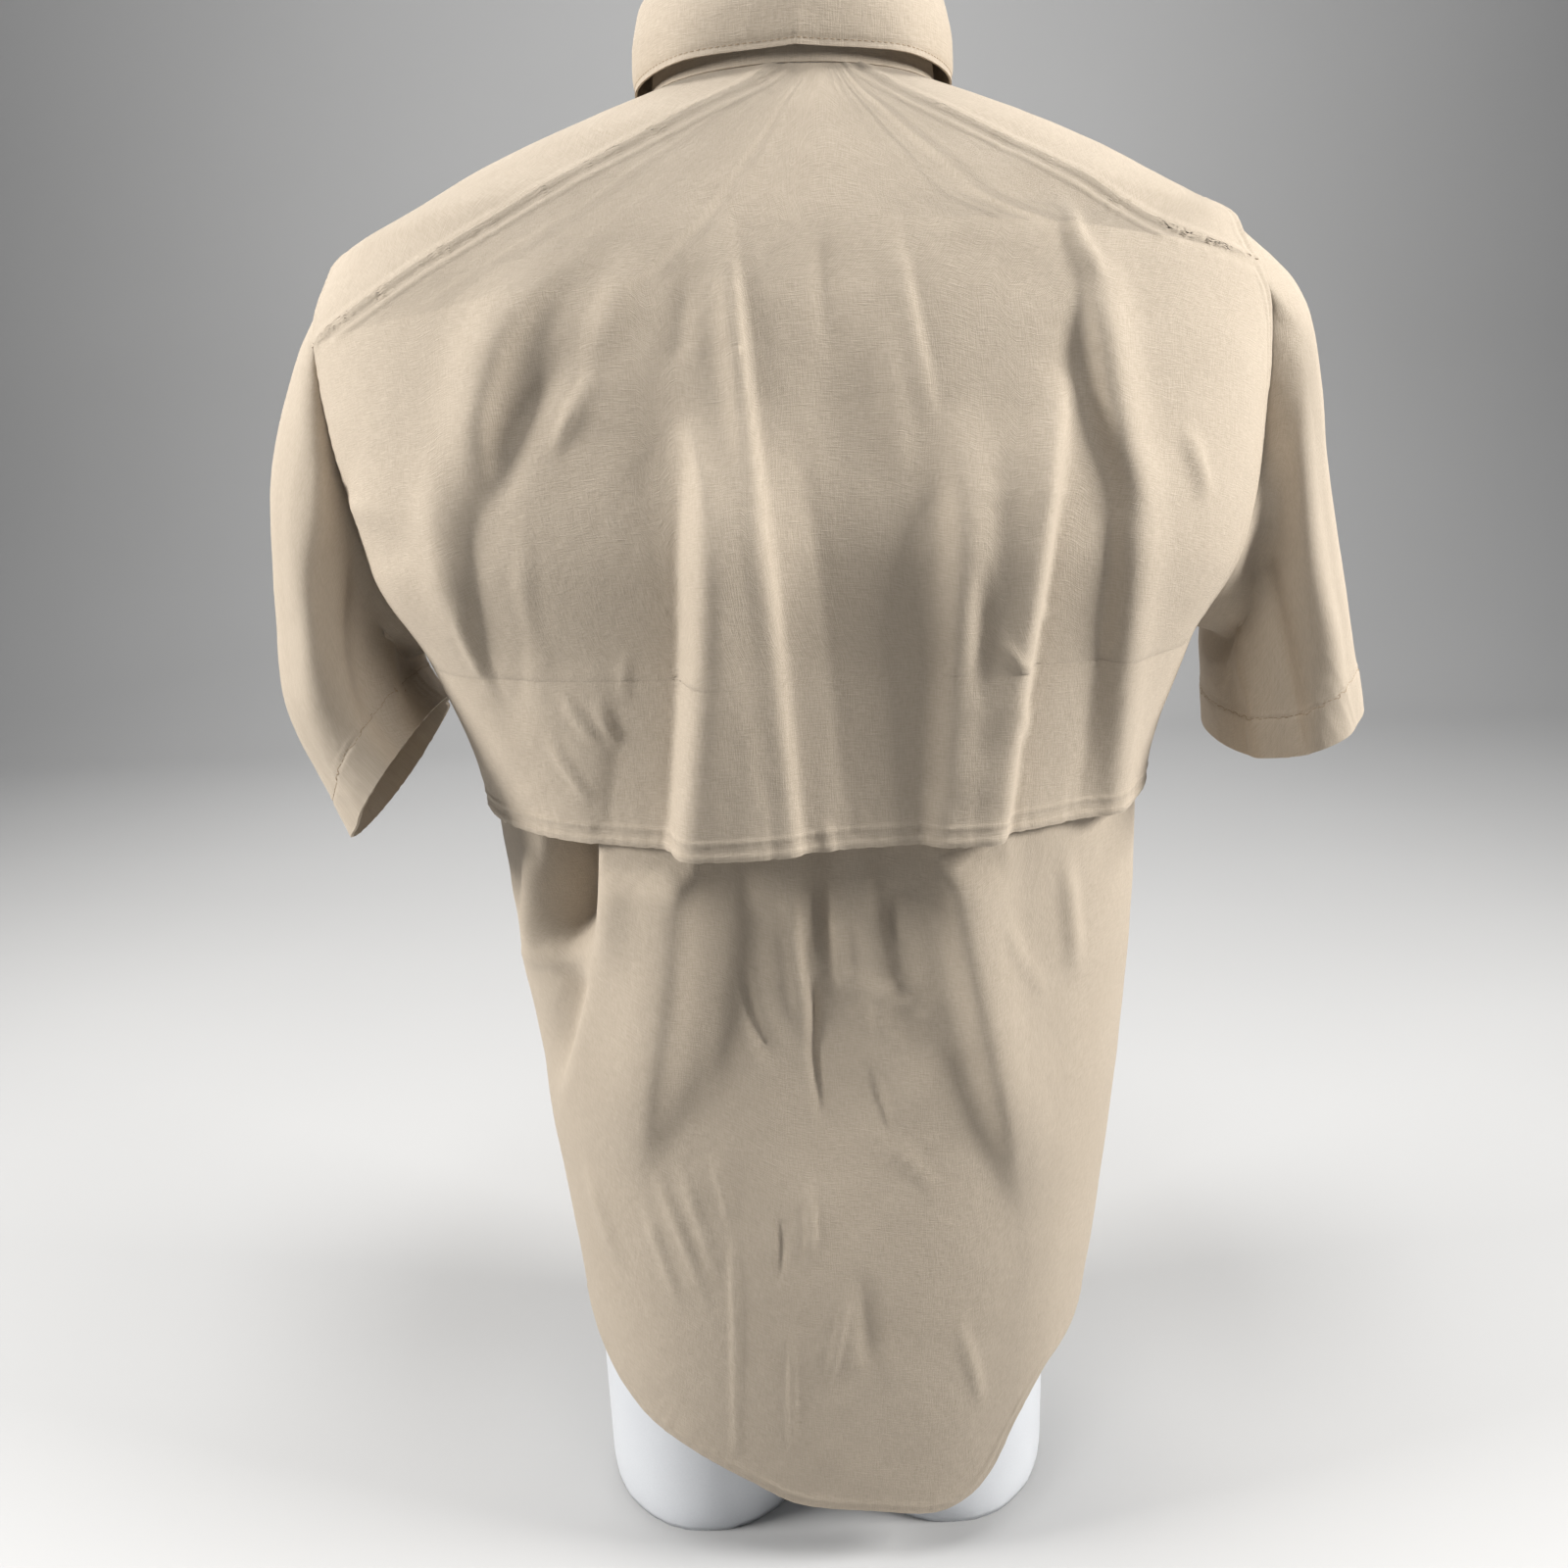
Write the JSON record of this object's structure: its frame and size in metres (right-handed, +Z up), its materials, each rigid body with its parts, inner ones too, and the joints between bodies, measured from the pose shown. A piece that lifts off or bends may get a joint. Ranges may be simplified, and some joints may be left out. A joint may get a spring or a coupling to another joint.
{
  "type": "short-sleeve vented-back shirt on a torso form",
  "caption": "Short-sleeve button-down shirt with a free-hanging vented cape over its lower back, worn by an armless white torso form that stands on flat thigh stumps.",
  "frame": {"origin": "on the floor, under the centre of the whole object's bounding box", "axes": "+Z up along the torso, -Y out of the shirt's fronts, +X to the wearer's left"},
  "size_m": [0.6118, 0.2792, 0.8948],
  "materials": {
    "cloth": "matte plain weave",
    "button": "satin",
    "form": "satin"
  },
  "bodies": {
    "root": {"back_panel": "cloth", "cape": "cloth", "front_left": "cloth", "front_right": "cloth", "placket": "cloth", "sleeve_left": "cloth", "sleeve_right": "cloth", "collar_stand": "cloth", "collar_leaf": "cloth", "button_1": "button", "button_2": "button", "button_3": "button", "button_4": "button", "button_5": "button", "button_6": "button", "button_7": "button", "torso_form": "form"}
  },
  "joints": []
}
